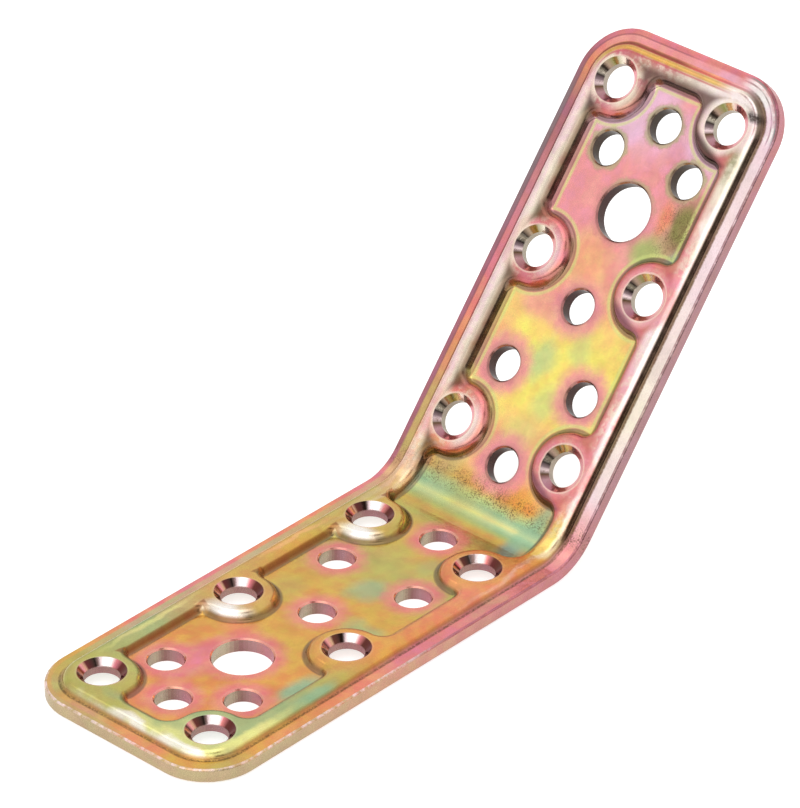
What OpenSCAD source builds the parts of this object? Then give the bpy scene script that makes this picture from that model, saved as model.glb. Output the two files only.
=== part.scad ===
// Pressed angle bracket for timber framing: two equal legs folded from one sheet.
// A raised bead runs round the whole part and straight through the fold, and widens into
// a round lobe at each countersunk screw hole. Inside it lies a recessed panel with plain
// nail and bolt holes. The part rests on its lower leg, +Z is up, and +X runs towards the
// fold. The origin is on the seating face, in the middle of the lower leg's screw pattern.

/* [Sheet] */
// flat length of each leg, from where the fold's curve ends
leg_l = 67.3; // [67:0.1:72]
// width of the plate
plate_w = 35; // [34:0.5:45]
// thickness of the sheet
sheet_t = 2; // [1.5:0.1:2.3]
// radius of the plate's outer corners
corner_r = 8; // [6:0.5:9]
// small radius along the plate's edges
edge_r = 0.3; // [0.1:0.05:0.4]

/* [Fold] */
// angle the sheet is folded through, where 0 is flat
fold_angle = 50; // [20:1:100]
// inner radius of the fold, on the panel's upper face
fold_r = 8; // [5:0.5:20]

/* [Bead] */
// width of the flat flange outside the bead
flange_w = 1.85; // [1.8:0.05:2.2]
// height of the flange's upper face above the panel's
flange_rise = 0.2; // [0.1:0.05:0.4]
// width of the bead from its inner foot to its outer foot
bead_w = 4.45; // [4.4:0.05:4.8]
// height of the bead's crest above the panel
bead_h = 1.3; // [1:0.05:1.5]
// steepness of the bead's walls
bead_slope = 60; // [50:1:70]
// radius of a lobe at its foot
lobe_r = 5.9; // [5.5:0.1:5.9]

/* [Screw holes] */
// number of countersunk pairs on each leg
screw_pairs = 3; // [2:1:3]
// distance from the fold's curve to the first pair
screw_first = 7.3; // [7.3:0.1:8.5]
// distance from the end of the leg to the last pair
screw_end = 8; // [7.6:0.1:8.4]
// distance from the side of the plate to a row of screw holes
screw_side = 7.5; // [7.2:0.1:7.6]
// diameter of the clearance hole
screw_d = 5; // [4:0.1:5.4]
// diameter of the 90 degree countersink at the crest
sink_d = 6.7; // [6:0.1:7.2]

/* [Plain holes] */
// diameter of the small holes
nail_d = 5; // [4:0.1:5.4]
// distance from the fold's curve to the first small hole on the centreline
nail_mid_first = 4.2; // [3.5:0.1:6]
// distance from the fold's curve to the first pair of small holes
nail_pair_first = 17; // [16:0.1:19]
// distance from the fold's curve to the middle small hole on the centreline
nail_mid = 28.4; // [25:0.1:32]
// distance from the end of the leg to the bolt hole
bolt_end = 24.4; // [24:0.1:27]
// distance from the end of the leg to the last pair of small holes
nail_pair_end = 17.1; // [16.5:0.1:17.5]
// distance from the end of the leg to the last small hole on the centreline
nail_mid_end = 11.2; // [10:0.1:12]
// distance across between the holes of a pair
nail_row = 14.2; // [12:0.1:15]
// diameter of the bolt hole
bolt_d = 8.4; // [7:0.1:9.5]
// width of the broken edge round the mouth of a plain hole
hole_rim = 0.2; // [0.1:0.05:0.3]

/* [Hidden] */
plating = [0.80, 0.66, 0.34];
// recessed panel: half width and length at the foot of the bead
recess_w = plate_w/2 - flange_w - bead_w;
recess_l = leg_l - flange_w - bead_w;
// centres of the outer corners
corner_s = leg_l - corner_r;
corner_w = plate_w/2 - corner_r;
// screw stations along the leg, evenly spaced, and their distance from the centreline
screw_last = leg_l - screw_end;
screw_pitch = (screw_last - screw_first)/(screw_pairs - 1);
stations = [for (i = [0 : screw_pairs - 1]) screw_first + i*screw_pitch];
screw_w = plate_w/2 - screw_side;
datum_s = (screw_first + screw_last)/2;
// plain holes on one leg: station, offset from the centreline, diameter
plain_holes = [
    [nail_mid_first, 0, nail_d],
    [nail_pair_first, nail_row/2, nail_d],
    [nail_pair_first, -nail_row/2, nail_d],
    [nail_mid, 0, nail_d],
    [leg_l - bolt_end, 0, bolt_d],
    [leg_l - nail_pair_end, nail_row/2, nail_d],
    [leg_l - nail_pair_end, -nail_row/2, nail_d],
    [leg_l - nail_mid_end, 0, nail_d]
];
// upper face of a bead wall: radii at its foot and at its shoulder
foot_r = 0.6;
shoulder_r = 1.2;
// lower face of a bead wall: one radius that leaves the sheet a little thinner there
under_r = foot_r + 0.75*sheet_t;
// height of the bead's outer wall, and how far neighbouring pieces reach into each other
outer_h = bead_h - flange_rise;
lap = 0.15;
// past this distance from the foot both faces of the crest are flat
land_at = max(wall_run(bead_h), groove_run(bead_h)) + 0.05;
rim_w = flange_w + bead_w - land_at;
// fillets between a lobe and the straight foot, centred level with the screw holes
side_fillet = recess_w - screw_w;
end_fillet = recess_l - screw_last;
side_reach = lobe_r + side_fillet;
end_reach = lobe_r + end_fillet;
profile_fn = 24;
sweep_fn = 48;
hole_fn = 48;

// share of the two radii that a wall of height h has room for
function room(h) = min(1, 0.9*h/((foot_r + shoulder_r)*(1 - cos(bead_slope))));

// sideways run of the upper face of a wall of height h
function wall_run(h) = let (k = room(h)*(foot_r + shoulder_r))
    k*sin(bead_slope) + (h - k*(1 - cos(bead_slope)))/tan(bead_slope);

// sideways run of the lower face of a wall of height h
function groove_run(h) = sqrt(pow(under_r, 2) - pow(under_r - h, 2));

// area above a wall that leaves the level of its foot at the origin and climbs to height h
module above_wall(h) {
    a = foot_r*room(h);
    b = shoulder_r*room(h);
    run = wall_run(h);
    foot = [a*sin(bead_slope), a*(1 - cos(bead_slope))];
    shoulder = [run - b*sin(bead_slope), h - b*(1 - cos(bead_slope))];
    difference() {
        union() {
            polygon([[-9, 0], [0, 0], foot, shoulder, [run, h], [run, h + 1], [-9, h + 1]]);
            intersection() {
                translate([0, a]) circle(r = a, $fn = profile_fn);
                square(foot);
            }
        }
        translate([run, h - b]) circle(r = b, $fn = profile_fn);
    }
}

// area below the same wall, where the sheet's lower face starts at the origin
module below_wall(h) {
    difference() {
        translate([0, -1]) square([9, h + 1]);
        translate([0, under_r]) circle(r = under_r, $fn = 2*profile_fn);
    }
}

// section of the inner wall: x runs outwards from the foot, y is the height
module inner_wall() {
    difference() {
        translate([-2*lap, -sheet_t]) square([land_at + 3*lap, sheet_t + bead_h]);
        above_wall(bead_h);
        translate([0, -sheet_t]) below_wall(bead_h);
    }
}

// what rounds a square edge whose corner is at the origin, with the sheet at x > 0 and y < 0
module edge_round() {
    difference() {
        translate([-1, -edge_r]) square([1 + edge_r, 1 + edge_r]);
        translate([edge_r, -edge_r]) circle(r = edge_r, $fn = profile_fn);
    }
}

// section of the flange and the outer wall: x runs inwards from the plate's edge
module rim() {
    difference() {
        translate([0, flange_rise - sheet_t]) square([rim_w + lap, sheet_t + outer_h]);
        translate([flange_w, flange_rise]) above_wall(outer_h);
        translate([flange_w, flange_rise - sheet_t]) below_wall(outer_h);
        translate([0, flange_rise]) edge_round();
        translate([0, flange_rise - sheet_t]) mirror([0, 1]) edge_round();
    }
}

// sweeps a section along the leg, with its x running away from the centreline
module along(from, to, w) {
    if (to > from)
        translate([from, w, 0]) rotate([90, 0, 90]) linear_extrude(to - from) children();
}

// sweeps a section across the leg, with its x running towards the end
module across(s, half_w) {
    translate([s, half_w, 0]) rotate([90, 0, 0]) linear_extrude(2*half_w) children();
}

// sweeps a section round an upright axis, with its x as the radius
module around(s, w, from, turn) {
    translate([s, w, 0]) rotate([0, 0, from]) rotate_extrude(angle = turn, $fn = sweep_fn) children();
}

// both sides of the centreline
module both_sides() {
    children();
    mirror([0, 1, 0]) children();
}

// outline of the ground at distance u outwards from the foot, round one lobe
module lobe(s, u) {
    last = s == screw_last;
    translate([s, screw_w]) circle(r = lobe_r - u, $fn = sweep_fn);
    difference() {
        translate([s - side_reach, screw_w])
            square([last ? side_reach + end_fillet + u + 0.05 : 2*side_reach, side_fillet + u + 0.05]);
        translate([s - side_reach, screw_w]) circle(r = side_fillet + u + 0.05, $fn = sweep_fn);
        if (!last)
            translate([s + side_reach, screw_w]) circle(r = side_fillet + u + 0.05, $fn = sweep_fn);
    }
    if (last)
        difference() {
            translate([s, screw_w - end_reach]) square([end_fillet + u + 0.05, end_reach + 0.05]);
            translate([s, screw_w - end_reach]) circle(r = end_fillet + u + 0.05, $fn = sweep_fn);
        }
}

module lobes(u) {
    for (s = stations)
        for (side = [0, 1])
            mirror([0, side]) lobe(s, u);
}

// everything inside the rim's inner edge
module field() {
    half_w = recess_w + land_at + 0.05;
    translate([0, -half_w]) square([corner_s, 2*half_w]);
    translate([0, -corner_w]) square([recess_l + land_at + 0.05, 2*corner_w]);
    for (side = [-1, 1])
        translate([corner_s, side*corner_w]) circle(r = corner_r - rim_w + 0.05, $fn = sweep_fn);
}

// recessed panel, a little smaller than its foot so that the walls reach into it
module panel() {
    translate([0, 0, -sheet_t]) linear_extrude(sheet_t) difference() {
        translate([0, lap - recess_w]) square([recess_l - lap, 2*(recess_w - lap)]);
        lobes(-lap);
    }
}

// flat crest of the lobes
module lands() {
    translate([0, 0, bead_h - sheet_t]) linear_extrude(sheet_t) intersection() {
        field();
        lobes(land_at);
    }
}

// inner wall along one side of a leg: straights, fillets and lobes
module inner_side() {
    for (i = [0 : screw_pairs - 1]) {
        s = stations[i];
        along(i == 0 ? 0 : stations[i - 1] + side_reach, s - side_reach, recess_w) inner_wall();
        around(s - side_reach, screw_w, 0, 90) translate([side_fillet, 0]) inner_wall();
        around(s, screw_w, 180, s == screw_last ? 90 : 180)
            translate([lobe_r, 0]) mirror([1, 0]) inner_wall();
        if (s != screw_last)
            around(s + side_reach, screw_w, 90, 90) translate([side_fillet, 0]) inner_wall();
    }
    around(screw_last, screw_w - end_reach, 0, 90) translate([end_fillet, 0]) inner_wall();
}

// flange and outer wall along one side and round one corner
module rim_side() {
    along(0, corner_s, plate_w/2) mirror([1, 0]) rim();
    around(corner_s, corner_w, 0, 90) translate([corner_r, 0]) mirror([1, 0]) rim();
}

module plain_hole(d) {
    translate([0, 0, -sheet_t - 1]) cylinder(d = d, h = sheet_t + 2, $fn = hole_fn);
    translate([0, 0, -hole_rim]) cylinder(d1 = d, d2 = d + 4*hole_rim, h = 2*hole_rim, $fn = hole_fn);
}

module screw_hole() {
    depth = (sink_d - screw_d)/2;
    translate([0, 0, -sheet_t - 1]) cylinder(d = screw_d, h = sheet_t + bead_h + 2, $fn = hole_fn);
    translate([0, 0, bead_h - depth]) cylinder(d1 = screw_d, d2 = screw_d + 4*depth, h = 2*depth, $fn = hole_fn);
}

// one leg: x is the distance from the fold's curve, z = 0 the panel's upper face
module leg() {
    difference() {
        union() {
            panel();
            lands();
            across(recess_l, screw_w - end_reach) inner_wall();
            across(leg_l, corner_w) mirror([1, 0]) rim();
            both_sides() {
                inner_side();
                rim_side();
            }
        }
        for (h = plain_holes)
            translate([h[0], h[1], 0]) plain_hole(h[2]);
        for (s = stations)
            both_sides() translate([s, screw_w, 0]) screw_hole();
    }
}

// section of the whole sheet between lobes: x runs across the plate, y is the height
module sheet_section() {
    translate([lap - recess_w, -sheet_t]) square([2*(recess_w - lap), sheet_t]);
    for (side = [0, 1])
        mirror([side, 0]) {
            translate([recess_w, 0]) inner_wall();
            translate([plate_w/2, 0]) mirror([1, 0]) rim();
        }
}

// a leg and its half of the fold, with the fold's axis along y and its middle plane at x = 0
module half() {
    far = leg_l + plate_w + 2*fold_r;
    intersection() {
        rotate([0, -fold_angle/2, 0]) {
            translate([0, 0, -fold_r]) leg();
            mirror([1, 0, 0]) rotate([90, 0, 0]) rotate([0, 0, -90])
                rotate_extrude(angle = fold_angle/2 + 2, $fn = 3*sweep_fn)
                    translate([fold_r, 0]) rotate(90) sheet_section();
        }
        translate([0, -plate_w, -far]) cube([far, 2*plate_w, 2*far]);
    }
}

module bracket() {
    color(plating) translate([datum_s, 0, sheet_t + fold_r]) rotate([0, -fold_angle/2, 0]) {
        half();
        mirror([1, 0, 0]) half();
    }
}

bracket();
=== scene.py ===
import math

import bpy
from mathutils import Matrix, Vector

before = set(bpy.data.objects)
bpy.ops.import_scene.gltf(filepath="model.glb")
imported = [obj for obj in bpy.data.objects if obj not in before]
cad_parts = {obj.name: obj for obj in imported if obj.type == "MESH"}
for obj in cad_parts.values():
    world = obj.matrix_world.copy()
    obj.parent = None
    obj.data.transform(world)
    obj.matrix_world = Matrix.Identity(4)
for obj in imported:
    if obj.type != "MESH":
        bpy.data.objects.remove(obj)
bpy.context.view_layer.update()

# image size the camera is fitted for
image_w, image_h = 800, 808

# camera, as fitted to the photograph: degrees, metres, pixels, and its sensor in mm
view_turn = -47.202
view_drop = 31.68
view_roll = -0.198
view_distance = 0.80248
focal_px = 5809.6
sensor_w = 36
clip_near, clip_far = 0.01, 20
aim_across = -0.010657
aim_up = 0.015529
fold_line = Vector((0.0370305, 0.0, 0.002))

# floor: its size and its gap under the sheet in metres, its paper's shade, and its glow seen and mirrored
floor_size = 6
floor_gap = 0.00005
paper_shade = 0.6
glow_seen, glow_mirrored = 0.72, 0.45

# the sheet, in millimetres
mm_per_m = 1000
leg_l = 67.3
half_w = 17.5
sheet_t = 2.0
corner_r = 8.0
fold_x = 33.3
fold_r = 8.0
fold_z = sheet_t + fold_r
fold_angle = math.radians(50)
fold_l = fold_r * fold_angle
flange_w = 1.85
recess_w = 11.2
recess_l = 61.0
lobe_r = 5.9
sink_r = 3.35
# plain holes of one leg: distance from the fold's curve, distance from the centreline, radius
plain_holes = (
    (4.2, 0, 2.5), (17.0, 7.1, 2.5), (28.4, 0, 2.5), (42.9, 0, 4.2), (50.2, 7.1, 2.5), (56.1, 0, 2.5),
)
# pairs of screw holes on one leg: the first one's distance from the fold's curve, pitch, number, and their
# distance from the centreline
screw_first, screw_pitch, screw_pairs, screw_side = 7.3, 26.0, 3, 10.0

# colours of the plating, as sRGB values from 0 to 255
palette = {
    "gold": (219, 168, 84), "amber": (226, 158, 84), "apricot": (246, 184, 130), "yellow": (250, 226, 118),
    "lemon": (244, 234, 150), "tan": (202, 170, 112), "olive": (188, 178, 100), "moss": (140, 138, 80),
    "sage": (172, 184, 128), "teal": (148, 186, 150), "mint": (196, 216, 148), "slate": (140, 156, 150),
    "lime": (214, 222, 138), "salmon": (233, 146, 112), "pink": (240, 156, 158), "rose": (226, 132, 136),
    "lilac": (238, 192, 214), "mauve": (172, 110, 122), "plum": (128, 82, 90), "cream": (248, 236, 214),
    "blush": (250, 224, 226), "taupe": (150, 112, 106), "umber": (96, 70, 42), "dusk": (104, 84, 74),
    "wine": (200, 126, 122), "orange": (236, 150, 72), "white": (255, 250, 246), "peach": (214, 164, 136),
    "clay": (198, 176, 138), "dusty": (182, 138, 142), "fern": (178, 190, 118), "garnet": (206, 134, 138),
    "bark": (172, 146, 126), "ink": (52, 42, 38), "maroon": (104, 48, 46), "brown": (146, 92, 46),
    "ash": (140, 118, 122), "violet": (228, 130, 148), "copper": (206, 112, 106), "stone": (196, 184, 158),
    "berry": (206, 132, 140), "straw": (208, 204, 136), "blossom": (232, 136, 132),
}

# noises over the sheet: scale in 1/mm, detail, roughness
noises = {
    "grain": (5.5, 2.0, 0.6), "sand": (10.0, 2.0, 0.7), "cloud": (0.35, 3.0, 0.55), "hue": (0.4, 4.0, 0.55),
    "mottle": (1.1, 3.0, 0.6), "breaks": (0.5, 2.0, 0.55), "arris_gleam_gaps": (0.8, 3.0, 0.6), "arris_gleam_mix": (1.0, 3.0, 0.6),
    "stipple": (0.45, 3.0, 0.6), "gloss": (0.7, 4.0, 0.65), "relief": (1.3, 3.0, 0.5),
}
# how far apart in them the sheet's two faces lie, in mm, and their middle value
face_gap = 7.0
noise_middle = 0.5
# noises that move the tints about, and how far: along and across in mm, halo's waver in mm, sway in turns
drift_noise, drift_reach = (0.16, 2.0, 0.55), (5, 3, 0)
waver_noise, waver_reach = (0.9, 3.0, 0.55), (0.8, 0.7, 0)
sway_noise, sway_reach = (0.06, 0.0, 0.55), 0.16
halo_reach = 1.6

# The films below are bounded by edges. An edge is the name of a measure, its values where the film is absent
# and where it is full, and the film's strength at these if not 0 and 1. A bare name is a share from 0 to 1.
#
# Measures in mm:
#   u       along the unfolded sheet: 0 to 7 in the fold, less on the lower leg, more on the upper one
#   w       across the sheet from its centreline, positive on the far side
#   height  over the panel's upper face
#   level   the same for a place on the upper face, and for the place under it on the lower face
#   rim     inwards from the outline
#   foot    inwards from the bead's inner foot, so that it is negative on the bead
#   screw   from the nearest screw hole's centre
#   sink    outwards from the nearest countersink
#   hole    from the nearest plain hole's edge
#   halo    the same, with a waver
#   lean    from the nearest screw hole towards the panel and the fold
#   corner  from the bright near corner of the upper end
# Other measures: lift and facing, the normal's shares out of the sheet, and towards its upper end and near
# side; flatness, the lift of either face; streak and stain, the distance from the middle of each, about 1 at
# its border; and every noise.
#
# Shares: top, the upper face; upright and lying, the cut walls and all the rest; upper and lower, the legs;
# far and near, the sides; front, the near side and the lower end; back, the far side and the upper end;
# deep, the same within the bead; arris, the upper edge in front; bore, the hole walls; cone and uncut, the
# countersinks and all the rest.
upper_leg = ("u", 3.0, 8.0)
upper_end = ("u", 50.0, 58.0)
lower_end = ("u", -60.0, -64.0)
back_end = ("u", 66.0, 71.0)
deep_end = ("u", 62.0, 66.0, 0.0, 0.85)
far_half = ("w", -3.0, 3.0)
deep_side = ("w", 9.0, 12.0)
near_side = ("w", -9.0, -13.0)
upper_face = ("lift", -0.2, 0.2)
cut_wall = ("flatness", 0.5, 0.25)
# the near upper edge: where its painted highlight shows, broken up by noise, and where it is rougher
arris_edges = ("rim", 0.42, 0.3), "front", ("arris_gleam_gaps", 0.3, 0.6, 0.5, 0.85)
bore_edges = "upright", ("rim", 0.9, 1.4)
cone_edges = ("screw", sink_r + 0.12, sink_r - 0.02), ("height", 0.2, 0.5)

# places on the sheet, along and across in mm, and the scale of their measure
corner_spot = (73, -16, 0)
streak_spot, streak_scale = (68.8, -13.4, 0), (1.3, 0.66, 0)
stain_spot, stain_scale = (50.5, -9, 0), (0.18, 0.3, 0)
# what each mm from a screw hole's centre counts in lean, towards the long side and towards the leg's end
lean_aside, lean_along = -0.45, -0.85

# where the bead and the flange take over from the panel, where the flange has its outer tint, and where the
# drift of the tints along the sheet fades out
bead_zone = ("level", 0.25, 0.95)
flange_zone = ("rim", flange_w + 0.8, flange_w + 0.1)
outer_edges = ("rim", 1.15, 0.75), "back"
fold_band = ("u", -3.0, 0.5), ("u", 9.5, 6.5)

# colours along the unfolded sheet, from the lower end to the upper end: place in mm, colour
run_low, run_high = -68.0, 75.0
panel_run = (
    (-61, "amber"), (-44, "amber"), (-36, "gold"), (-24, "gold"), (-14, "olive"), (-6, "gold"),
    (-1, "olive"), (1, "gold"), (1.9, "fern"), (2.7, "teal"), (3.5, "straw"), (4.4, "teal"), (5.4, "mint"),
    (6.8, "gold"), (9, "apricot"), (15, "apricot"), (20, "yellow"), (30, "yellow"), (36, "apricot"),
    (43, "pink"), (56, "pink"), (62, "lilac"), (68, "pink"),
)
bead_far_run = (
    (-66, "olive"), (-58, "olive"), (-48, "sage"), (-38, "tan"), (-20, "gold"), (-6, "olive"), (2, "gold"),
    (8, "apricot"), (14, "salmon"), (32, "wine"), (42, "rose"), (52, "wine"), (62, "rose"), (72, "wine"),
)
bead_near_run = (
    (-66, "lemon"), (-58, "sage"), (-49, "sage"), (-41, "olive"), (-31, "amber"), (-12, "salmon"),
    (0, "amber"), (5, "apricot"), (12, "pink"), (24, "pink"), (36, "blush"), (44, "pink"), (58, "cream"),
    (68, "blush"), (74, "cream"),
)
flange_far_run = (
    (-67, "gold"), (-57, "olive"), (-48, "clay"), (-34, "peach"), (-24, "clay"), (-12, "tan"), (0, "peach"),
    (8, "tan"), (16, "tan"), (25, "salmon"), (36, "rose"), (48, "garnet"), (60, "mauve"), (68, "salmon"),
    (74, "pink"),
)
outer_far_run = (
    (-67, "tan"), (-58, "gold"), (-48, "salmon"), (-34, "rose"), (-22, "salmon"), (-8, "salmon"),
    (0, "rose"), (8, "mauve"), (20, "mauve"), (34, "mauve"), (50, "ash"), (62, "ash"), (68, "mauve"),
    (74, "rose"),
)
# on the upper leg, the near flange's blush and cream are a painted highlight
flange_near_tints_and_highlight = (
    (-67, "gold"), (-50, "amber"), (-38, "salmon"), (-24, "rose"), (-10, "rose"), (-3, "pink"), (5, "pink"),
    (13, "blush"), (24, "cream"), (44, "blush"), (62, "blush"), (70, "lilac"), (74, "pink"),
)
edge_run = (
    (-67, "clay"), (-54, "clay"), (-32, "peach"), (0, "garnet"), (16, "dusty"), (50, "dusty"), (74, "garnet"),
)

# patches of tint: place along and across in mm, half sizes, colour, strength; and how many half sizes from
# its middle a patch is absent and full
patch_absent, patch_full = 1.45, 0.35
panel_patches = (
    (-58, 4, 3, 3, "salmon", 0.5), (-48, 4.6, 5, 3.4, "violet", 0.95), (-38.5, 5, 2.4, 3, "salmon", 0.6),
    (-43, -10.8, 4.5, 1.7, "teal", 0.9), (-28.5, -8, 2.6, 3.4, "sage", 0.85), (-27, 7, 3, 3, "olive", 0.5),
    (-20, -1.5, 3.2, 2.6, "teal", 0.65), (-12, 3, 3.4, 5, "olive", 0.35), (-10, -4, 2.0, 1.8, "sage", 0.4),
    (-0.5, -9.2, 3.0, 2.2, "slate", 0.95), (3.0, 5, 3.2, 8, "olive", 0.5), (3.2, -9.6, 3.2, 2.2, "teal", 0.7),
    (5.2, 9, 1.8, 4, "teal", 0.4), (8, -5, 2.4, 3.6, "orange", 0.75), (7, -10, 2, 1.4, "teal", 0.7),
    (9, 8.6, 2.4, 2.6, "sage", 0.5), (16, -1, 2.4, 3, "lime", 0.4), (21, -2, 2.6, 2.0, "lime", 0.7),
    (27, 1.6, 3.0, 2.2, "mint", 0.8), (29.5, -3.6, 2.2, 2.0, "lime", 0.7), (26, 9.6, 6, 2.2, "apricot", 0.8),
    (29, -9, 4, 2, "yellow", 0.6), (34, 6.6, 2.2, 3.2, "pink", 0.6), (42, 2, 4, 4.4, "apricot", 0.85),
    (45.5, -6.6, 3.2, 2.8, "fern", 0.95), (51, -10, 4.8, 2.2, "moss", 0.95),
    (51, -6.8, 2.8, 1.3, "orange", 0.55), (45.4, -10.6, 2, 1.2, "teal", 0.8), (52, 8, 4, 3, "pink", 0.5),
    (61.5, 6, 4, 3.6, "lilac", 1.0), (66, 2.5, 2.6, 3.4, "lilac", 0.8), (60, -4, 3, 2.4, "rose", 0.5),
)
# painted highlights among the bead's patches: the white ones, the lemon and apricot lines along the lower
# leg's crest edges, the cream line along the upper leg's far inner shoulder, and the blush and cream patches
# on the upper leg's far lobes, on their sides towards the centreline
bead_tints_and_highlights = (
    (-44, -14.4, 4, 1.2, "teal", 0.75), (-64.6, -6, 1.0, 13, "white", 0.75), (-61.6, -1, 1.1, 8, "sage", 0.8),
    (-57, -14.5, 7, 0.9, "lemon", 0.8), (-36, -9, 4.4, 4.4, "amber", 0.6), (-46, 13.4, 8, 0.5, "lemon", 0.6),
    (-19, 13.4, 7, 0.5, "apricot", 0.6), (-33, 10, 5, 5, "gold", 0.6), (-8, -9, 5, 4.5, "amber", 0.6),
    (-7, 10, 5, 4.5, "gold", 0.6), (-38, 7.4, 2.6, 3.4, "white", 0.95), (-12, 7.4, 2.6, 3.4, "white", 0.95),
    (4, -13.6, 4, 1.5, "yellow", 0.7), (40, -14.5, 44, 0.6, "white", 0.6), (42, 13.9, 40, 1.0, "blush", 0.85),
    (42, 12.6, 42, 0.9, "cream", 0.9), (13, 6, 6, 2.8, "white", 0.85), (40, 6, 6, 2.6, "blush", 0.85),
    (64, 7.5, 3, 2.6, "cream", 0.8), (69, -10, 2.6, 5, "white", 0.9), (61.5, -12.4, 2.2, 1.6, "moss", 0.7),
    (62.6, 11, 1.6, 2, "mauve", 0.5), (68.6, 3, 0.8, 9, "cream", 0.8), (69.2, 2, 1.6, 6, "stone", 0.7),
)
# the white patch at the upper end's near corner is a painted highlight
flange_tints_and_highlight = (
    (72.5, -14, 3, 4, "white", 0.9), (-63, -16.4, 4, 2, "olive", 0.6), (-66.5, 6, 2, 4, "peach", 0.7),
    (-66.5, -4, 2, 5, "salmon", 0.7), (-65, 14, 3, 3, "sage", 0.5), (-52, -16.6, 4, 1, "salmon", 0.5),
    (-40, 16.2, 6, 0.7, "sage", 0.5), (-28, -16.2, 4, 2, "violet", 0.6), (-12, -16.4, 5, 1, "peach", 0.6),
)

# Films, painted shade and painted highlights, in the order they are laid: tint, strength, edges. A tint is a
# colour, or an edge and the tints where its value is 0 and 1.
panel_films_and_shade = (
    # haloes round the plain holes: pink on the lower leg; pink, then garnet and green on the upper leg
    ("blossom", 0.85, ("halo", 2.9, 0.3), "lower"),
    ("pink", 0.85, ("halo", 3.2, 0.8), "upper", ("u", 42.0, 36.0)),
    ("garnet", 0.5, ("halo", 1.3, 0.3), "upper"),
    ("sage", 0.6, ("halo", 1.0, 0.35), ("u", 50.0, 56.0)),
    # a pale green line along the bead's foot on the upper leg, and a dark line of painted shade in the foot
    ("lime", 0.6, ("foot", 0.05, 0.25), ("foot", 0.85, 0.4), ("u", 8.0, 16.0)),
    ("dusk", 0.7, ("foot", 0.25, -0.1)),
)
bead_films_and_shade = (
    # the upper leg's bead: mottled pale, rose round the screw holes, and red-brown down its inner side, with
    # painted shade in umber and ink down the inner walls of the far side and the upper end
    ("cream", 0.55, ("mottle", 0.42, 0.68), "upper"),
    ("rose", 1.0, ("screw", 5.6, 4.6), "upper", ("w", 4.0, -4.0, 0.25, 0.6), ("u", 63.0, 58.0, 0.2, 1.0)),
    (("deep", "copper", (("u", 59.0, 63.0), "umber", "ink")), 0.85, ("foot", -2.3, -1.0), "upper"),
    # painted shade on the shoulders of its near lobes, towards the panel and the fold
    ((upper_end, "plum", "ink"), 0.85, ("lean", 2.9, 4.1), ("screw", 6.3, 5.6), "upper", ("w", -3.0, -6.0)),
)
painted_wall_shade = (
    # painted shade in the bead's outer foot, on the near side and at the lower end, broken up by the grain
    # noise
    ("umber", 1.0, ("rim", flange_w - 0.12, flange_w + 0.1), ("rim", flange_w + 0.5, flange_w + 0.2), "front",
     ("grain", 0.35, 0.55, 0.25, 0.8)),
    # painted shade: brown down the far inner side of the lower leg's bead
    ("brown", 0.75, ("foot", -0.15, -0.35), ("foot", -1.05, -0.75), deep_side, ("u", 2.0, -2.0)),
    # painted shade on the upper leg's inner walls that face the fold, on the near side
    ((upper_end, "dusk", "ink"), 0.85, ("foot", 0.2, 0.0), ("foot", -1.2, -0.9), "upper", ("lift", 0.85, 0.65),
     ("w", 6.0, 3.0), ("facing", -0.2, -0.8)),
)
# bands round the upper end, and bands of painted highlight and reflection round its bright near corner: where
# they start and end from the outline in mm, and colour; then how soft they are in mm, their strength, and
# their edges
end_bands = ((1.95, 2.65, "salmon"), (2.65, 3.45, "gold"), (3.5, 3.75, "copper"))
end_soft, end_strength = 0.15, 0.9
end_edges = ("u", 65.0, 69.5), ("w", -9.5, -5.0)
corner_highlight_bands = (
    (0.3, 0.55, "slate"), (0.6, 1.0, "white"), (1.05, 1.2, "dusk"), (1.3, 1.8, "white"), (3.0, 3.2, "plum"),
)
corner_highlight_soft, corner_highlight_strength = 0.1, 1.0
corner_highlight_edges = ("corner", 8.0, 5.0), ("breaks", 0.35, 0.6, 0.25, 0.9)
rim_films_shade_and_highlight = (
    # lines up the upper leg: two on the far side, and painted shade down the near side's outer wall
    ("plum", 0.5, ("rim", 0.72, 0.86), ("rim", 1.08, 0.94), "far", ("u", 4.0, 24.0)),
    ("maroon", 0.7, ("rim", flange_w + 0.05, flange_w + 0.25), ("rim", flange_w + 0.85, flange_w + 0.6), "far",
     ("u", 4.0, 24.0)),
    ("umber", 0.85, ("rim", flange_w, flange_w + 0.2), ("rim", flange_w + 1.1, flange_w + 0.8), "near",
     ("u", 2.0, 8.0)),
    # the black streak in the bright corner
    ("ink", 1.0, ("streak", 1.35, 0.4), ("grain", 0.3, 0.6, 0.6, 0.95)),
    # the near edge: a pale painted highlight broken up by noise, then mauve, on the lower leg, and dark on the
    # upper leg
    (("upper", (("u", -34.0, -18.0), (("arris_gleam_mix", 0.36, 0.64), "clay", "blush"), "mauve"), "plum"), 1.0,
     "arris"),
)

# cut edges of the blank, and rings round the mouths of the plain holes and round the countersinks: painted
# highlights in cream, and a painted shadow in dusk round the plain holes of the upper leg
cut_edges = "upright", ("rim", 0.9, 0.5)
ring_highlights_and_shadow = (
    (("upper", "cream", "dusk"), 1.0, ("hole", 0.45, 0.15), "top", "lying", ("upper", 0.0, 1.0, 0.15, 0.5)),
    ("cream", 1.0, ("sink", 0.4, 0.15), "uncut", ("upper", 0.0, 1.0, 0.1, 0.45)),
)
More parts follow.
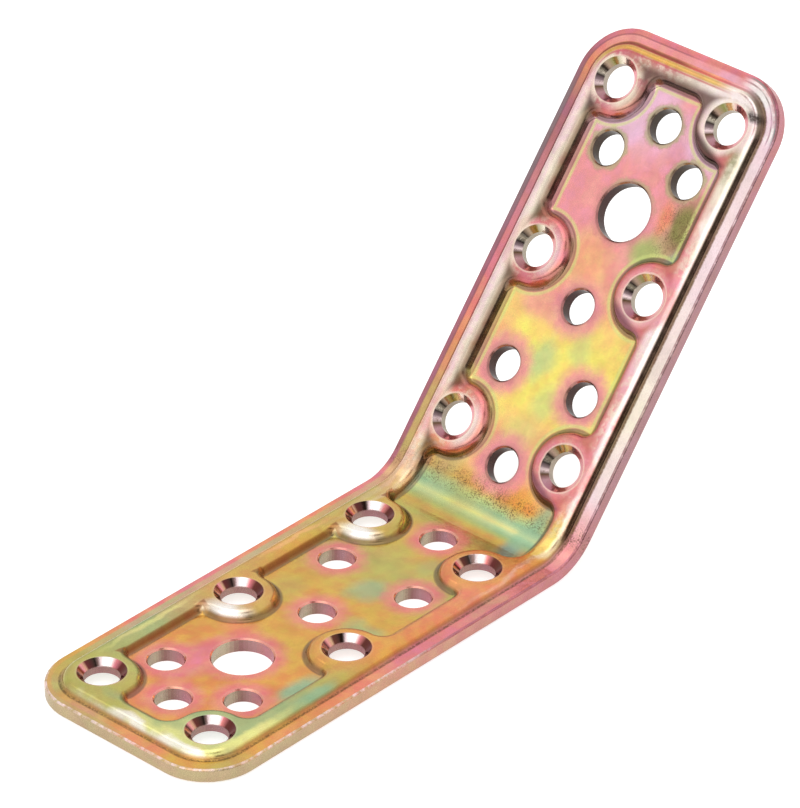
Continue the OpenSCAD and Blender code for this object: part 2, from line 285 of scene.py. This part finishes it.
# Painted shade of the hole walls, lighter or darker by the way each wall faces: its strength; on the lower leg
# its colours, from walls that face the lower end and the far side to the opposite ones; what makes a wall's
# facing its place among them; and the edge of the screw holes' darker mauve shade. On the upper leg the walls
# are painted dark ink.
bore_shade_strength = 0.95
bore_shade_ramp = ((0.0, "berry"), (0.3, "dusty"), (0.55, "taupe"), (0.8, "stone"))
facing_scale, facing_middle = 0.36, 0.5
screw_bore_shade = ("screw", 3.0, 2.8, 0.0, 0.7)
# painted reflections on the countersinks, light and dark streaks round their axis, in turns from the near side
# by way of
# the lower end: lower leg, upper leg
lower_cone_reflections = (
    (0.0, "copper"), (0.2, "copper"), (0.28, "brown"), (0.36, "brown"), (0.40, "peach"), (0.44, "maroon"),
    (0.47, "pink"), (0.50, "peach"), (0.52, "maroon"), (0.59, "ink"), (0.62, "blush"), (0.69, "white"),
    (0.73, "rose"), (0.78, "maroon"),
)
upper_cone_reflections = (
    (0.0, "rose"), (0.2, "copper"), (0.28, "mauve"), (0.36, "dusty"), (0.41, "umber"), (0.44, "blush"),
    (0.465, "ash"), (0.50, "ink"), (0.53, "cream"), (0.56, "ink"), (0.60, "bark"), (0.66, "moss"),
    (0.73, "cream"), (0.8, "rose"),
)

# dark grains: along the fold and in the stain, both uneven, and faint ones everywhere
fold_grains = ("u", 4.4, 5.6), ("u", 9.2, 6.4), ("level", 0.9, 0.3, 0.15, 0.8)
stain_grains = ("stain", 1.2, 0.3), ("level", 0.9, 0.3, 0.0, 0.6)
stippled = ("stipple", 0.36, 0.58, 0.25, 1.0)
grain_size = ("grain", 0.5, 0.6)
grains_everywhere = 0.05
# what the sand and cloud noises multiply the colour by: noise, factors; and how the hue shifts, 0.5 for none
sand_gain = ((0.3, (0.84, 0.84, 0.84)), (0.62, (1.06, 1.06, 1.06)), (0.74, (1.5, 1.5, 1.5)))
cloud_gain = ((0.3, (0.93, 0.93, 0.92)), (0.7, (1.1, 1.09, 1.09)))
hue_shift = ("hue", 0.3, 0.7, 0.485, 0.515)

# the metal: its share, its roughness by the gloss noise, what the hole walls and the arris add to this, and
# the share of it that the countersinks lose
metal_share = 0.88
roughness = ("gloss", 0.3, 0.75, 0.13, 0.27)
edge_haze = 0.12
cone_shine = 0.6
# its bump: strength, depth in metres, and the grain's share beside the relief noise's 1
bump_strength = 0.35
bump_depth = 0.00004
grain_relief = 0.5

# studio seen in the metal: direction, half angles of full and of no effect in degrees, brightness
studio = (
    ((-0.77, 0.58, 0.28), 14, 32, (1.0, 1.0, 1.0)),
    ((0.1, 1.0, 0.14), 24, 44, (0.85, 0.84, 0.82)),
    ((0.62, -0.76, 0.18), 8, 30, (0.86, 0.72, 0.58)),
    ((-0.30, -0.95, 0.10), 14, 24, (0.08, 0.06, 0.05)),
    ((-0.05, 0.02, 1.0), 12, 26, (1.7, 1.7, 1.75)),
    ((0.0, 0.578, 0.816), 4, 13, (1.4, 1.4, 1.36)),
    ((-0.78, -0.15, 0.60), 18, 34, (1.6, 1.58, 1.55)),
    ((-0.60, -0.64, 0.47), 8, 16, (1.7, 1.7, 1.7)),
    ((-0.12, -0.52, 0.84), 5, 13, (0.30, 0.22, 0.18)),
)
# and elsewhere, from straight below, 0, over the horizon, 0.5, to straight above, 1
studio_rise = (
    (0.0, (0.7, 0.7, 0.7)), (0.5, (0.32, 0.29, 0.26)), (0.62, (0.48, 0.45, 0.42)), (0.71, (1, 1, 1)),
    (1.0, (1, 1, 1)),
)


def linear(name):
    """A palette colour as linear RGBA."""
    def one(v):
        v /= 255
        return v / 12.92 if v <= 0.04045 else ((v + 0.055) / 1.055) ** 2.4
    return tuple(one(v) for v in palette[name]) + (1.0,)


class Graph:
    """Adds shader nodes and joins them. A value is a number, a tuple, a palette colour's name or another
    node's output."""

    def __init__(self, tree):
        self.tree = tree
        tree.nodes.clear()

    def node(self, kind, **settings):
        made = self.tree.nodes.new(kind)
        for name, value in settings.items():
            setattr(made, name, value)
        return made

    def put(self, socket, value):
        if isinstance(value, bpy.types.NodeSocket):
            self.tree.links.new(value, socket)
        else:
            socket.default_value = linear(value) if isinstance(value, str) else value

    def math(self, operation, *values, clamp=False):
        made = self.node("ShaderNodeMath", operation=operation, use_clamp=clamp)
        for socket, value in zip(made.inputs, values):
            self.put(socket, value)
        return made.outputs[0]

    def add(self, a, b, clamp=False):
        return self.math("ADD", a, b, clamp=clamp)

    def less(self, a, b):
        return self.math("SUBTRACT", a, b)

    def times(self, first, *others):
        for other in others:
            first = self.math("MULTIPLY", first, other)
        return first

    def least(self, first, *others):
        for other in others:
            first = self.math("MINIMUM", first, other)
        return first

    def most(self, a, b):
        return self.math("MAXIMUM", a, b)

    def vector(self, operation, *values, out=0):
        made = self.node("ShaderNodeVectorMath", operation=operation)
        for socket, value in zip(made.inputs, values):
            self.put(socket, value)
        return made.outputs[out]

    def length(self, vector):
        return self.vector("LENGTH", vector, out=1)

    def distance(self, place, centre):
        return self.vector("DISTANCE", place, centre, out=1)

    def scaled(self, place, centre, scale):
        """Distance from centre to place, with a scale for each axis."""
        return self.length(self.vector("MULTIPLY", self.vector("SUBTRACT", place, centre), scale))

    def point(self, x, y, z=0.0):
        made = self.node("ShaderNodeCombineXYZ")
        for socket, value in zip(made.inputs, (x, y, z)):
            self.put(socket, value)
        return made.outputs[0]

    def parts(self, vector):
        made = self.node("ShaderNodeSeparateXYZ")
        self.put(made.inputs[0], vector)
        return made.outputs

    def step(self, value, low, high, first=0.0, last=1.0):
        """Smooth step from first at low to last at high; high may be the smaller one."""
        made = self.node("ShaderNodeMapRange", interpolation_type="SMOOTHSTEP")
        for socket, v in zip(made.inputs, (value, low, high, first, last)):
            self.put(socket, v)
        return made.outputs[0]

    def mix(self, factor, a, b, blend="MIX"):
        made = self.node("ShaderNodeMix", data_type="RGBA", blend_type=blend, clamp_factor=True)
        self.put(made.inputs[0], factor)
        self.put(made.inputs[6], a)
        self.put(made.inputs[7], b)
        return made.outputs[2]

    def ramp(self, value, stops):
        """Colour ramp with stops of (position, name or RGB), the value already from 0 to 1."""
        made = self.node("ShaderNodeValToRGB")
        elements = made.color_ramp.elements
        while len(elements) < len(stops):
            elements.new(0.5)
        for element, (place, colour) in zip(elements, stops):
            element.position = place
            element.color = linear(colour) if isinstance(colour, str) else (*colour, 1)
        self.put(made.inputs[0], value)
        return made.outputs[0]

    def noise(self, vector, scale, detail, roughness, colour=False):
        made = self.node("ShaderNodeTexNoise", noise_dimensions="3D")
        self.put(made.inputs["Vector"], vector)
        self.put(made.inputs["Scale"], scale)
        self.put(made.inputs["Detail"], detail)
        self.put(made.inputs["Roughness"], roughness)
        return made.outputs["Color" if colour else "Fac"]


class Sheet:
    """The measures and shares of a place on the part, by name, and the films that go by them."""

    def __init__(self, g):
        self.g = g
        self.at = {}
        self.unfold()
        self.split()
        self.measure_features()
        self.wander()

    def unfold(self):
        """Coordinates of the unfolded sheet, and the normal's shares."""
        g, at = self.g, self.at
        place = g.node("ShaderNodeTexCoord").outputs["Object"]
        x, y, z = g.parts(g.vector("MULTIPLY", place, (mm_per_m, mm_per_m, mm_per_m)))
        dx, dz = g.less(x, fold_x), g.less(z, fold_z)
        turn = g.math("ARCTAN2", dx, g.times(dz, -1.0))
        turn = g.least(g.most(turn, 0.0), fold_angle)
        sin, cos = g.math("SINE", turn), g.math("COSINE", turn)
        out = g.less(g.times(dx, sin), g.times(dz, cos))
        along = g.add(g.times(dx, cos), g.times(dz, sin))
        nx, ny, nz = g.parts(g.node("ShaderNodeNewGeometry").outputs["True Normal"])
        at["u"], at["w"] = g.add(g.times(turn, fold_r), along), y
        at["height"] = g.less(fold_r, out)
        at["lift"] = g.less(g.times(nz, cos), g.times(nx, sin))
        at["facing"] = g.less(g.add(g.times(nx, cos), g.times(nz, sin)), ny)
        at["flatness"] = g.math("ABSOLUTE", at["lift"])
        self.place = g.point(at["u"], at["w"])

    def split(self):
        """Shares of the faces, legs and sides, and the noises on them."""
        g, at = self.g, self.at
        at["top"] = self.edge(upper_face)
        at["upright"] = self.edge(cut_wall)
        at["lying"] = g.less(1.0, at["upright"])
        at["level"] = g.add(at["height"], g.times(g.less(1.0, at["top"]), sheet_t))
        at["upper"] = self.edge(upper_leg)
        at["lower"] = g.less(1.0, at["upper"])
        at["far"] = self.edge(far_half)
        at["near"] = self.edge(near_side)
        at["front"] = g.most(at["near"], self.edge(lower_end))
        at["back"] = g.most(at["far"], self.edge(back_end))
        at["deep"] = g.most(self.edge(deep_side), self.edge(deep_end))
        # the noises differ between the two faces, and down the height of cut walls
        depth = g.add(g.times(at["top"], face_gap), g.times(at["upright"], at["height"]))
        self.noise_place = g.point(at["u"], at["w"], depth)
        for name, settings in noises.items():
            at[name] = g.noise(self.noise_place, *settings)

    def measure_features(self):
        """Distances to the holes, the outline, the bead and the marks, and shares of what was cut."""
        g, at = self.g, self.at
        station = g.most(g.times(at["u"], -1.0), g.less(at["u"], fold_l))
        across = g.math("ABSOLUTE", at["w"])
        on_leg = g.point(station, across)
        at["hole"] = g.least(*(g.less(g.distance(on_leg, (s, c, 0)), r) for s, c, r in plain_holes))
        at["screw"] = g.least(*(
            g.distance(on_leg, (screw_first + i * screw_pitch, screw_side, 0)) for i in range(screw_pairs)))
        at["sink"] = g.less(at["screw"], sink_r)

        # from the nearest screw hole: along the leg, and away from the centreline
        turns = g.math("DIVIDE", g.add(station, screw_pitch / 2 - screw_first), screw_pitch)
        self.past_screw = g.less(g.times(g.math("FRACT", turns), screw_pitch), screw_pitch / 2)
        self.beside_screw = g.less(across, screw_side)
        at["lean"] = g.add(g.times(self.beside_screw, lean_aside), g.times(self.past_screw, lean_along))

        # inwards from the outline, rounded corners included, and from the bead's inner foot
        a, b = g.less(station, leg_l - corner_r), g.less(across, half_w - corner_r)
        out = g.length(g.point(g.most(a, 0.0), g.most(b, 0.0)))
        at["rim"] = g.less(corner_r, g.add(out, g.least(g.most(a, b), 0.0)))
        at["foot"] = g.least(g.less(recess_w, across), g.less(recess_l, station), g.less(at["screw"], lobe_r))

        at["corner"] = g.distance(self.place, corner_spot)
        at["streak"] = g.scaled(self.place, streak_spot, streak_scale)
        at["stain"] = g.scaled(self.place, stain_spot, stain_scale)
        at["arris"] = self.share(*arris_edges)
        at["bore"] = self.share(*bore_edges)
        at["cone"] = self.share(*cone_edges)
        at["uncut"] = g.less(1.0, at["cone"])

    def wander(self):
        """An uneven film moves its tints by a few millimetres. Along the sheet this fades out in the fold,
        whose band of colours runs straight across."""
        g, at = self.g, self.at
        middle = (noise_middle, noise_middle, noise_middle)
        drift = g.vector("SUBTRACT", g.noise(self.noise_place, *drift_noise, colour=True), middle)
        waver = g.vector("SUBTRACT", g.noise(self.noise_place, *waver_noise, colour=True), middle)
        drifted = g.vector("MULTIPLY", drift, drift_reach)
        wavered = g.vector("MULTIPLY", waver, waver_reach)
        place = g.vector("ADD", self.place, g.vector("ADD", drifted, wavered))
        self.moved = g.vector("MULTIPLY", place, (1, 1, 0))
        in_fold = self.share(*fold_band)
        away = g.less(1.0, in_fold)
        self.moved_u = g.add(g.times(at["u"], in_fold), g.times(g.parts(self.moved)[0], away))
        at["halo"] = g.add(at["hole"], g.times(g.parts(waver)[0], halo_reach))

    def edge(self, edge):
        """How far an edge lets its film through."""
        if isinstance(edge, str):
            return self.at[edge]
        name, absent, full, *strengths = edge
        return self.g.step(self.at[name], absent, full, *strengths)

    def share(self, *edges):
        """How far all of these edges let their film through."""
        return self.g.times(*(self.edge(edge) for edge in edges))

    def tint(self, tint):
        """Colour of a tint, which may itself be made of tints."""
        if not isinstance(tint, tuple):
            return tint
        edge, before, after = tint
        return self.g.mix(self.edge(edge), self.tint(before), self.tint(after))

    def laid(self, colour, films):
        """Films laid over a colour one after another."""
        for tint, strength, *edges in films:
            colour = self.g.mix(self.g.times(self.share(*edges), strength), colour, self.tint(tint))
        return colour

    def banded(self, colour, bands, soft, strength, edges):
        """Bands that follow the outline, laid over a colour."""
        return self.laid(colour, (
            (name, strength, ("rim", low - soft, low + soft), ("rim", high + soft, high - soft), *edges)
            for low, high, name in bands))

    def patched(self, colour, patches):
        """Soft patches laid over a colour one after another."""
        for along, across, half_l, half_c, name, strength in patches:
            away = self.g.scaled(self.moved, (along, across, 0), (1 / half_l, 1 / half_c, 0))
            near = self.g.step(away, patch_absent, patch_full, 0.0, strength)
            colour = self.g.mix(near, colour, name)
        return colour

    def run(self, stops):
        """Colours that follow one another along the sheet."""
        span = run_high - run_low
        place = self.g.math("DIVIDE", self.g.less(self.moved_u, run_low), span, clamp=True)
        return self.g.ramp(place, [((u - run_low) / span, name) for u, name in stops])

    def surfaces(self):
        """The panel, the bead and the flange round it, each with its own run of colours."""
        g, far = self.g, self.at["far"]
        panel = self.laid(self.patched(self.run(panel_run), panel_patches), panel_films_and_shade)
        bead = g.mix(far, self.run(bead_near_run), self.run(bead_far_run))
        bead = self.laid(self.patched(bead, bead_tints_and_highlights), bead_films_and_shade)
        flange = g.mix(far, self.run(flange_near_tints_and_highlight), self.run(flange_far_run))
        flange = self.patched(flange, flange_tints_and_highlight)
        flange = g.mix(self.share(*outer_edges), flange, self.run(outer_far_run))
        return g.mix(self.edge(flange_zone), g.mix(self.edge(bead_zone), panel, bead), flange)

    def cone_reflections(self):
        """Painted reflections on the countersinks: light and dark streaks by the angle round each hole's own
        axis.
        """
        g, at = self.g, self.at
        along = g.times(self.past_screw, g.math("SIGN", g.less(at["u"], fold_l / 2)))
        aside = g.times(self.beside_screw, g.math("SIGN", at["w"]))
        turns = g.math("DIVIDE", g.math("ARCTAN2", along, aside), 2 * math.pi)
        sway = g.times(g.less(g.noise(self.place, *sway_noise), noise_middle), sway_reach)
        # the arctangent counts from -0.5 to 0.5 turns
        place = g.add(g.add(turns, 0.5), sway, clamp=True)
        return g.mix(at["upper"], g.ramp(place, lower_cone_reflections), g.ramp(place, upper_cone_reflections))

    def cut_faces(self, colour):
        """Edges cut by the blanking tool, hole walls with painted shade, countersinks with painted
        reflections, and rings of painted highlight and shadow round the mouths.
        """
        g, at = self.g, self.at
        colour = g.mix(self.share(*cut_edges), colour, self.run(edge_run))
        bore_shading = g.ramp(g.add(g.times(at["facing"], facing_scale), facing_middle), bore_shade_ramp)
        bore_shading = g.mix(self.edge(screw_bore_shade), bore_shading, "mauve")
        colour = g.mix(g.times(at["bore"], bore_shade_strength), colour, g.mix(at["upper"], bore_shading, "ink"))
        colour = g.mix(at["cone"], colour, self.cone_reflections())
        return self.laid(colour, ring_highlights_and_shadow)

    def speckled(self, colour):
        """Dark grains, and the film's fine and broad changes of depth and hue."""
        g, at = self.g, self.at
        stipple = g.times(g.most(self.share(*fold_grains), self.share(*stain_grains)), self.edge(stippled))
        dark = g.times(self.edge(grain_size), g.add(stipple, grains_everywhere))
        colour = g.mix(dark, colour, "umber")
        colour = g.mix(1.0, colour, g.ramp(at["sand"], sand_gain), "MULTIPLY")
        colour = g.mix(1.0, colour, g.ramp(at["cloud"], cloud_gain), "MULTIPLY")
        shift = g.node("ShaderNodeHueSaturation")
        g.put(shift.inputs["Hue"], self.edge(hue_shift))
        g.put(shift.inputs["Color"], colour)
        return shift.outputs[0]

    def haze(self):
        """Roughness of the metal."""
        g, at = self.g, self.at
        rough = g.add(self.edge(roughness), g.times(g.most(at["bore"], at["arris"]), edge_haze))
        return g.times(rough, g.less(1.0, g.times(at["cone"], cone_shine)))


def plating():
    """Yellow passivated zinc: metal whose tint drifts along the sheet, round holes and over the bead, with
    painted highlights, shade and reflections laid into its colour.
    """
    made = bpy.data.materials.new("plating")
    made.use_nodes = True
    g = Graph(made.node_tree)
    sheet = Sheet(g)
    colour = sheet.laid(sheet.surfaces(), painted_wall_shade)
    colour = sheet.banded(colour, end_bands, end_soft, end_strength, end_edges)
    # painted highlight and reflection in the bright near corner
    colour = sheet.banded(colour, corner_highlight_bands, corner_highlight_soft, corner_highlight_strength, corner_highlight_edges)
    colour = sheet.speckled(sheet.cut_faces(sheet.laid(colour, rim_films_shade_and_highlight)))

    bump = g.node("ShaderNodeBump")
    bump.inputs["Strength"].default_value = bump_strength
    bump.inputs["Distance"].default_value = bump_depth
    g.put(bump.inputs["Height"], g.add(g.times(sheet.at["grain"], grain_relief), sheet.at["relief"]))
    shader = g.node("ShaderNodeBsdfPrincipled")
    shader.inputs["Metallic"].default_value = metal_share
    g.put(shader.inputs["Base Color"], colour)
    g.put(shader.inputs["Roughness"], sheet.haze())
    g.put(shader.inputs["Normal"], bump.outputs[0])
    g.put(g.node("ShaderNodeOutputMaterial").inputs["Surface"], shader.outputs[0])
    return made


def studio_world():
    """Bright studio with dark corners for reflections; white behind the object."""
    world = bpy.data.worlds.new("studio")
    bpy.context.scene.world = world
    world.use_nodes = True
    g = Graph(world.node_tree)
    way = g.vector("NORMALIZE", g.node("ShaderNodeTexCoord").outputs["Generated"])
    # the direction's height, from -1 to 1, as a place from 0 to 1
    light = g.ramp(g.add(g.times(g.parts(way)[2], 0.5), 0.5), studio_rise)
    for aim, full, none, bright in studio:
        reach = g.vector("DOT_PRODUCT", way, tuple(Vector(aim).normalized()), out=1)
        near = g.step(reach, math.cos(math.radians(none)), math.cos(math.radians(full)))
        light = g.mix(near, light, (*bright, 1))
    seen = g.node("ShaderNodeLightPath").outputs["Is Camera Ray"]
    back = g.node("ShaderNodeBackground")
    g.put(back.inputs["Color"], g.mix(seen, light, (1, 1, 1, 1)))
    g.put(g.node("ShaderNodeOutputWorld").inputs["Surface"], back.outputs[0])


def paper():
    """White paper with a little glow where it is seen or mirrored, so that only the shadow shows on it."""
    made = bpy.data.materials.new("paper")
    made.use_nodes = True
    g = Graph(made.node_tree)
    matt = g.node("ShaderNodeBsdfDiffuse")
    matt.inputs["Color"].default_value = (paper_shade, paper_shade, paper_shade, 1)
    glow = g.node("ShaderNodeEmission")
    glow.inputs["Color"].default_value = (1, 1, 1, 1)
    rays = g.node("ShaderNodeLightPath").outputs
    seen = g.times(rays["Is Camera Ray"], glow_seen)
    g.put(glow.inputs["Strength"], g.add(seen, g.times(rays["Is Glossy Ray"], glow_mirrored)))
    both = g.node("ShaderNodeAddShader")
    g.put(both.inputs[0], matt.outputs[0])
    g.put(both.inputs[1], glow.outputs[0])
    g.put(g.node("ShaderNodeOutputMaterial").inputs["Surface"], both.outputs[0])
    return made


def floor():
    """Plain white floor that keeps the object's soft shadow."""
    bpy.ops.mesh.primitive_plane_add(size=floor_size, location=(0, 0, -floor_gap))
    made = bpy.context.object
    made.name = "floor"
    made.data.materials.append(paper())


def camera():
    """Camera at the photograph's own place."""
    turn, drop, roll = (math.radians(x) for x in (view_turn, view_drop, view_roll))
    right = Vector((math.cos(turn), math.sin(turn), 0))
    ahead = Vector((-math.sin(turn) * math.cos(drop), math.cos(turn) * math.cos(drop), -math.sin(drop)))
    up = right.cross(ahead)
    across = math.cos(roll) * right + math.sin(roll) * up
    above = math.cos(roll) * up - math.sin(roll) * right
    data = bpy.data.cameras.new("camera")
    data.sensor_width = sensor_w
    data.lens = focal_px * sensor_w / max(image_w, image_h)
    data.clip_start, data.clip_end = clip_near, clip_far
    made = bpy.data.objects.new("camera", data)
    bpy.context.scene.collection.objects.link(made)
    place = Matrix((across, above, -ahead)).transposed().to_4x4()
    place.translation = fold_line + aim_across * across + aim_up * above - view_distance * ahead
    made.matrix_world = place
    bpy.context.scene.camera = made


camera()
studio_world()
floor()
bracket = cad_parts["bracket"]
metal = plating()
for slot in bracket.material_slots:
    slot.material = metal

bpy.context.scene.view_settings.view_transform = "Standard"
